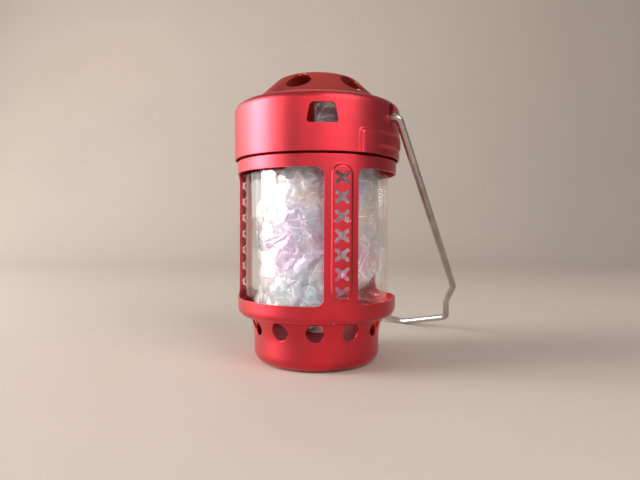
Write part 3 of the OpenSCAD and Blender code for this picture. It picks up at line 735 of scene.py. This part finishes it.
class LANTERN_OT_cage(bpy.types.Operator):
    """Pierced tube: rolled lower ring, three beaded pillars with X cut-outs, upper ring and collar"""

    bl_idname = "lantern.cage"
    bl_label = "Cage"

    def execute(self, context):
        s, c = context.scene.lantern_sizes, context.scene.lantern_colours
        fine = 0.23 * MM
        dense_low, dense_high = s.bead_low_z - fine * 2, s.bead_high_z + fine * 2
        foot = profile([(s.neck_top_r + 0.2 * MM, s.seam_z, 0), (s.cage_r, s.seam_z, s.cage_edge_r),
                        (s.cage_r, dense_low, 0)], 0.5 * MM)
        wall = profile([(s.cage_r, dense_low, 0), (s.cage_r, dense_high, 0)], fine)[1:]
        ring_z, collar_r, fold = CAP_LOW_Z - s.cap_gap, s.cage_r - s.collar_step, 0.4 * MM
        collar = [(s.cage_r, dense_high, 0), (s.cage_r, ring_z, fold),
                  (collar_r, ring_z + s.collar_step / 2, fold), (collar_r, CAGE_TOP_Z, 0)]
        collar = profile(collar, 0.5 * MM)[1:]
        half = (s.pillar_w / 2 + fine) / s.cage_r
        inner = np.linspace(-half, half, math.ceil(2 * half * s.cage_r / fine) + 1)
        gap = TURN / PILLARS - 2 * half
        outer = half + gap * np.arange(1, 34) / 34
        part = np.concatenate([inner, outer])
        azimuths = np.concatenate([s.pillar_az + k * TURN / PILLARS + part for k in range(PILLARS)])
        lug_z = s.track_high_z - 1.3 * MM
        lug_az = s.channel_az + s.track_turn - math.radians(4.5)
        lug_raise = s.collar_step + 0.8 * MM
        lug_half_w, lug_half_h, lug_corner, lug_flank = 1.6 * MM, 1.2 * MM, 0.8 * MM, 0.6 * MM

        def beads_and_lugs(theta, r, z):
            along = s.cage_r * nearest(theta, s.pillar_az, PILLARS)
            half_h = (s.bead_high_z - s.bead_low_z) / 2
            bead = -box_distance(along, z - s.bead_low_z - half_h, s.bead_w / 2, half_h, s.bead_w / 2)
            beside = s.cage_r * nearest(theta, lug_az, CHANNELS)
            lug = -box_distance(beside, z - lug_z, lug_half_w, lug_half_h, lug_corner)
            return s.bead_raise * smooth(bead / s.bead_flank) + lug_raise * smooth(lug / lug_flank)

        outer_row = CROSSES // 2  # counted from the middle one

        def openings(theta, r, z):
            beside = s.cage_r * nearest(theta, s.pillar_az + TURN / PILLARS / 2, PILLARS)
            mid = (s.opening_low_z + s.opening_high_z) / 2
            half_h = (s.opening_high_z - s.opening_low_z) / 2
            window_half = s.cage_r * TURN / PILLARS / 2 - s.pillar_w / 2
            window = box_distance(beside, z - mid, window_half, half_h, s.opening_corner)
            x = s.cage_r * nearest(theta, s.pillar_az, PILLARS)
            row = np.clip(np.round((z - s.cross_mid_z) / s.cross_pitch), -outer_row, outer_row)
            y = z - s.cross_mid_z - row * s.cross_pitch
            reach_x, reach_y = (s.cross_w - s.cross_arm) / 2, (s.cross_h - s.cross_arm) / 2
            arms = np.minimum(bar_distance(x, y, reach_x, reach_y, s.cross_arm),
                              bar_distance(x, y, reach_x, -reach_y, s.cross_arm))
            cross = np.minimum(arms, np.hypot(x, y) - s.cross_eye / 2)
            return np.minimum(window, cross)

        path = np.concatenate([foot, wall, collar])
        cage = turned_sheet("cage_shell", azimuths, path, beads_and_lugs, openings, fine)
        give_wall(cage, s.sheet, 0.7 * s.edge)
        finish_piece(cage, anodised("red_cage", tuple(c.red), tuple(c.edge_highlight_pink), 0.37),
                     "lantern", "cage")
        return {"FINISHED"}


class LANTERN_OT_cap(bpy.types.Operator):
    """Drawn cap with vent windows, raised bayonet channels and bail slots"""

    bl_idname = "lantern.cap"
    bl_label = "Cap"

    def execute(self, context):
        s, c = context.scene.lantern_sizes, context.scene.lantern_colours
        path = profile([(s.cap_r, CAP_LOW_Z, 0), (s.cap_r, CAP_TOP_Z, s.cap_shoulder),
                        (s.dome_r + 0.2 * MM, CAP_TOP_Z, 0)], 0.4 * MM)
        pivot_z = HINGE["pos_m"][2]
        pivot_az = math.atan2(HINGE["axis"][0], -HINGE["axis"][1])
        slot_mid_z = pivot_z - s.wire_d / 2 - 0.05 * MM + s.slot_h / 2

        past_edge, corner, flank = 4 * MM, 1 * MM, 0.7 * MM

        def groove(turn, z, width, low_z, high_z):
            """Distance to a groove that starts at turn 0, grown by the sheet that wraps it."""
            return box_distance(s.cap_r * (turn - width / 2), z - (low_z + high_z) / 2,
                                s.cap_r * width / 2 + s.sheet, (high_z - low_z) / 2 + s.sheet, corner)

        def channels(theta, r, z):
            turn = nearest(theta, s.channel_az, CHANNELS)
            entry = groove(turn, z, s.entry_turn, CAP_LOW_Z - past_edge, s.track_high_z)
            track = groove(turn, z, s.track_turn, s.track_low_z, s.track_high_z)
            return s.channel_raise * smooth(-np.minimum(entry, track) / flank)

        def cuts(theta, r, z):
            aside = s.cap_r * nearest(theta, s.vent_az, PILLARS)
            mid, half_h = (s.vent_low_z + s.vent_high_z) / 2, (s.vent_high_z - s.vent_low_z) / 2
            vent = trapezoid_distance(aside, z - mid, s.vent_low_w / 2, s.vent_high_w / 2,
                                      half_h, s.vent_corner)
            slot = box_distance(s.cap_r * nearest(theta, pivot_az, CHANNELS), z - slot_mid_z,
                                s.slot_w / 2, s.slot_h / 2, s.slot_w / 2)
            return np.where(r > s.cap_r - s.cap_shoulder * 0.7, np.minimum(vent, slot), 1 * MM)

        cap = turned_sheet("cap_skin", even_azimuths(400), path, channels, cuts, 0.4 * MM)
        give_wall(cap, s.sheet, s.edge)
        finish_piece(cap, anodised("red_cap", tuple(c.red), tuple(c.edge_highlight_pink), 0.37),
                     "cap", "cap_shell")
        return {"FINISHED"}


class LANTERN_OT_dome(bpy.types.Operator):
    """Vented dome: a cone with six round holes under a shallow crown"""

    bl_idname = "lantern.dome"
    bl_label = "Dome"

    def execute(self, context):
        s, c = context.scene.lantern_sizes, context.scene.lantern_colours
        rise = DOME_TOP_Z - s.crown_z
        ball_r = (s.crown_r**2 + rise**2) / (2 * rise)
        a = np.linspace(math.asin(s.crown_r / ball_r), 0, 9)
        crown = [(ball_r * math.sin(k), DOME_TOP_Z - ball_r * (1 - math.cos(k)), 0) for k in a[1:]]
        flange_z = CAP_TOP_Z - s.sheet
        flange_r = s.cap_r - s.cap_shoulder - 0.5 * MM
        cone = [(s.dome_r, s.dome_foot_z, 1.2 * MM), (s.crown_r, s.crown_z, 3 * MM)]
        path = profile([(flange_r, flange_z, 0), (s.dome_r, flange_z, 0.15 * MM), *cone, *crown], 0.5 * MM)
        slope = math.atan2(s.crown_z - s.dome_foot_z, s.dome_r - s.crown_r)
        hole_z = s.dome_foot_z + (s.dome_r - s.dome_hole_r) * math.tan(slope)

        def holes(theta, r, z):
            turn = nearest(theta, s.dome_hole_az, DOME_HOLES)
            aside = r * np.sin(turn)
            up = (z - hole_z) * math.sin(slope) - (r * np.cos(turn) - s.dome_hole_r) * math.cos(slope)
            return np.where(z > s.dome_foot_z, np.hypot(aside, up) - s.dome_hole_d / 2, 1 * MM)

        dome = turned_sheet("dome_skin", even_azimuths(240), path, cuts=holes)
        give_wall(dome, s.sheet, s.edge)
        finish_piece(dome, anodised("red_dome", tuple(c.dome_red), tuple(c.edge_highlight_pink), 0.46, 0.08),
                     "cap", "dome")
        return {"FINISHED"}


class LANTERN_OT_glass(bpy.types.Operator):
    """Glass chimney: a tube with fire-polished ends"""

    bl_idname = "lantern.glass"
    bl_label = "Glass chimney"

    def execute(self, context):
        s = context.scene.lantern_sizes
        inner, soft = GLASS_R - s.glass_wall, 0.45 * s.glass_wall
        mid = GLASS_R - s.glass_wall / 2
        loop = [(mid, GLASS_LOW_Z, 0), (GLASS_R, GLASS_LOW_Z, soft), (GLASS_R, GLASS_TOP_Z, soft),
                (inner, GLASS_TOP_Z, soft), (inner, GLASS_LOW_Z, soft), (mid, GLASS_LOW_Z, 0)]
        glass = turned_sheet("glass_tube", even_azimuths(180), profile(loop, 2 * MM))
        finish_piece(glass, clear_glass("chimney_glass"), "lantern", "glass_chimney")
        return {"FINISHED"}


class LANTERN_OT_film(bpy.types.Operator):
    """Crushed film in three nested layers, with a tail in the cup"""

    bl_idname = "lantern.film"
    bl_label = "Film filling"

    def execute(self, context):
        s, colours = context.scene.lantern_sizes, context.scene.lantern_colours
        low, high = LIGHT_TOP_Z + 0.4 * MM, FILM_TOP_Z + 1.8 * MM
        full_r = GLASS_R - s.glass_wall - 0.35 * MM
        tail_r, tail_aside, tail_z = 9.5 * MM, 4.5 * MM, 10 * MM
        closed = 0.03  # share of the height over which each end closes
        # Name, share of the radius, seed, opacity, grid
        layers = (
            ("film_outer", 1.0, 5, 0.58, (310, 280)),
            ("film_middle", 0.80, 23, 0.65, (240, 200)),
            ("film_core", 0.52, 37, 0.90, (160, 160)),
        )
        for name, share, seed, alpha, (columns, rows) in layers:
            random = np.random.default_rng(seed)
            theta, t = np.meshgrid(even_azimuths(columns), np.linspace(0, 1, rows))
            z = low + (high - low) * t
            u = theta / TURN
            folds = facets(u, t, (10, 6), random)[0]
            plies, chance = facets(u, t, (26, 15), random)
            dents = facets(u, t, (58, 36), random)[0]
            sag = MM * (2.2 * facets(u, t, (12, 7), random)[0] + 0.8 * facets(u, t, (30, 18), random)[0])
            rise = z + sag * smooth((z - low) / (5 * MM)) * smooth((high - z) / (3 * MM))

            # Narrow in the cup, wider from start_z up, and rounded off at the top
            x, y = np.sin(theta), -np.cos(theta)
            right, left, back = np.clip(x, 0, 1), np.clip(-x, 0, 1), np.clip(y, 0, 1)
            start_z = (12.5 + 5.0 * right + 2.0 * back) * MM
            swell = smooth((rise - start_z) / ((7 + 6 * right) * MM))
            crown = np.sqrt(np.clip((high + 0.8 * MM - rise) / ((2.5 + 6 * left) * MM), 0, 1))
            r = share * (tail_r + (full_r - tail_r) * swell) * (0.15 + 0.85 * crown)

            # Crushed inwards, with deeper dents low at the front
            glitter = np.exp(-((y + 1) / 0.25) ** 2 - ((z - 27 * MM) / (9 * MM)) ** 2)
            depth = 1.3 * (1 - folds) * (1 - 0.6 * right) + 0.55 * (1 - plies)
            depth = depth + (0.20 + 0.22 * glitter) * (1 - dents)
            r = r - MM * depth * (0.4 + 0.6 * crown)

            # The left shoulder slopes away: above the slope, x stays right of this line
            limit = (rise - (60 + 2 * folds + plies) * MM) / 1.33 - 11 * MM
            slope_r = np.where(x < 0, np.maximum(-limit, 1 * MM) / np.maximum(-x, 1e-3), 1)
            r = np.clip(np.minimum(r, slope_r), 0.6 * MM, full_r)
            r = r * np.sqrt(np.clip(np.minimum(t, 1 - t) / closed, 0, 1))

            points = turned_points(theta, r, np.maximum(rise, low))
            points[..., 0] -= tail_aside * (1 - smooth((z - tail_z) / (12 * MM)))
            facet = np.concatenate([chance, np.ones_like(t)[..., None]], -1).reshape(-1, 4)
            quads = grid_quads(rows, columns, closed=True).reshape(-1, 4)
            film = add_mesh(name, points.reshape(-1, 3), quads, facet=facet)
            finish_piece(film, iridescent_film(name, colours, alpha), "lantern", "film_wad")
        return {"FINISHED"}


class LANTERN_OT_bail(bpy.types.Operator):
    """Bent wire bail with hooked ends and a shallow V at the grip"""

    bl_idname = "lantern.bail"
    bl_label = "Bail"

    def execute(self, context):
        s, c = context.scene.lantern_sizes, context.scene.lantern_colours
        hook_x = s.cap_r - s.sheet - s.wire_d / 2 - 1.2 * MM
        knee_x, knee_y = s.grip_x + 2.4 * MM, s.leg_len + 9.5 * MM
        half = [(hook_x, -s.hook_len, 0), (hook_x, 0, 1.6 * MM), (s.leg_x, 0, 1.9 * MM),
                (s.leg_x, s.leg_len, 4 * MM), (knee_x, knee_y, 4 * MM), (s.grip_x, s.grip_corner_y, 3 * MM)]
        other = [(-x, y, bend) for x, y, bend in reversed(half)]
        path = profile([*half, (0, s.grip_mid_y, 8 * MM), *other], 0.8 * MM, math.radians(9))
        pivot = Vector(HINGE["pos_m"])
        axis = np.array(HINGE["axis"]) / np.linalg.norm(HINGE["axis"])
        out = np.array([-axis[1], axis[0], 0])
        reach = path[:, 1].max()
        swing = math.acos((pivot.z - s.wire_d / 2) / reach)
        down = out * math.sin(swing) + np.array([0, 0, -math.cos(swing)])
        points = np.array(pivot) + path[:, :1] * axis + path[:, 1:] * down
        arc = np.concatenate([[0], np.cumsum(np.linalg.norm(np.diff(points, axis=0), axis=1))])
        # Each end is rounded off, and closed by a tip just past it
        round_off = 0.5 * MM
        end = np.clip(np.minimum(arc, arc[-1] - arc) / round_off, 0, 1)
        radius = s.wire_d / 2 * (0.55 + 0.45 * np.sqrt(1 - (1 - end) ** 2))
        low_tip, high_tip = points[[0, -1]] + 0.01 * (points[[0, -1]] - points[[1, -2]])
        points = np.concatenate([[low_tip], points, [high_tip]])
        radius = np.concatenate([[0], radius, [0]])
        wire = tube("bail_wire", points, np.cross(axis, down), radius, 24)
        finish_piece(wire, satin_steel("bail_steel", tuple(c.steel)), "bail", "bail")
        return {"FINISHED"}


class LANTERN_OT_light(bpy.types.Operator):
    """Battery light: moulded case, lens, and finishes for its small fittings"""

    bl_idname = "lantern.light"
    bl_label = "Battery light"

    def execute(self, context):
        wall = 1.2 * MM
        hole_r = 2.6 * MM
        plate_r = LIGHT_R - wall - 1.3 * MM
        path = profile([(plate_r, LIGHT_LOW_Z, 0), (LIGHT_R, LIGHT_LOW_Z, 2.3 * MM),
                        (LIGHT_R, LIGHT_TOP_Z, 1.2 * MM), (hole_r, LIGHT_TOP_Z, 0)], 1 * MM)
        case = turned_sheet("light_case_shell", even_azimuths(120), path)
        give_wall(case, wall, 0.2 * MM)
        shell = moulded_plastic("red_plastic", (0.32, 0.012, 0.022))
        finish_piece(case, shell, "lantern", "light_case")
        finishes = {
            "light_base": shell,
            "battery_door": moulded_plastic("door_plastic", (0.28, 0.010, 0.020)),
            "coin_cell": rolled_metal("cell_steel", (0.72, 0.72, 0.73)),
            "contact_plus": rolled_metal("strip_brass", (0.80, 0.60, 0.25)),
            "contact_minus": rolled_metal("strip_brass_low", (0.78, 0.58, 0.24)),
            "led": moulded_plastic("lens_plastic", (0.96, 0.92, 0.75), 0.15),
            "light_switch": moulded_plastic("black_plastic", (0.03, 0.03, 0.035)),
        }
        for node, material in finishes.items():
            mesh = frame["nodes"][node].data
            mesh.materials.clear()
            mesh.materials.append(material)
        return {"FINISHED"}


class LANTERN_PT_panel(bpy.types.Panel):
    """Lists the lantern's pieces in the order in which they are made"""

    bl_idname = "LANTERN_PT_panel"
    bl_label = "Lantern"
    bl_space_type = "VIEW_3D"
    bl_region_type = "UI"
    bl_category = "Lantern"

    def draw(self, context):
        for operator in OPERATORS:
            self.layout.operator(operator.bl_idname)
        for group in (context.scene.lantern_sizes, context.scene.lantern_colours):
            column = self.layout.column()
            for key in group.__annotations__:
                column.prop(group, key)


OPERATORS = (
    LANTERN_OT_stage,
    LANTERN_OT_cup,
    LANTERN_OT_cage,
    LANTERN_OT_cap,
    LANTERN_OT_dome,
    LANTERN_OT_glass,
    LANTERN_OT_film,
    LANTERN_OT_bail,
    LANTERN_OT_light,
)
CLASSES = (LanternSizes, LanternColours, *OPERATORS, LANTERN_PT_panel)


def register():
    for cls in CLASSES:
        bpy.utils.register_class(cls)
    bpy.types.Scene.lantern_sizes = PointerProperty(type=LanternSizes)
    bpy.types.Scene.lantern_colours = PointerProperty(type=LanternColours)


def unregister():
    del bpy.types.Scene.lantern_sizes
    del bpy.types.Scene.lantern_colours
    for cls in reversed(CLASSES):
        bpy.utils.unregister_class(cls)


def main():
    register()
    for operator in OPERATORS:
        group, name = operator.bl_idname.split(".")
        getattr(getattr(bpy.ops, group), name)()


if __name__ == "__main__":
    main()
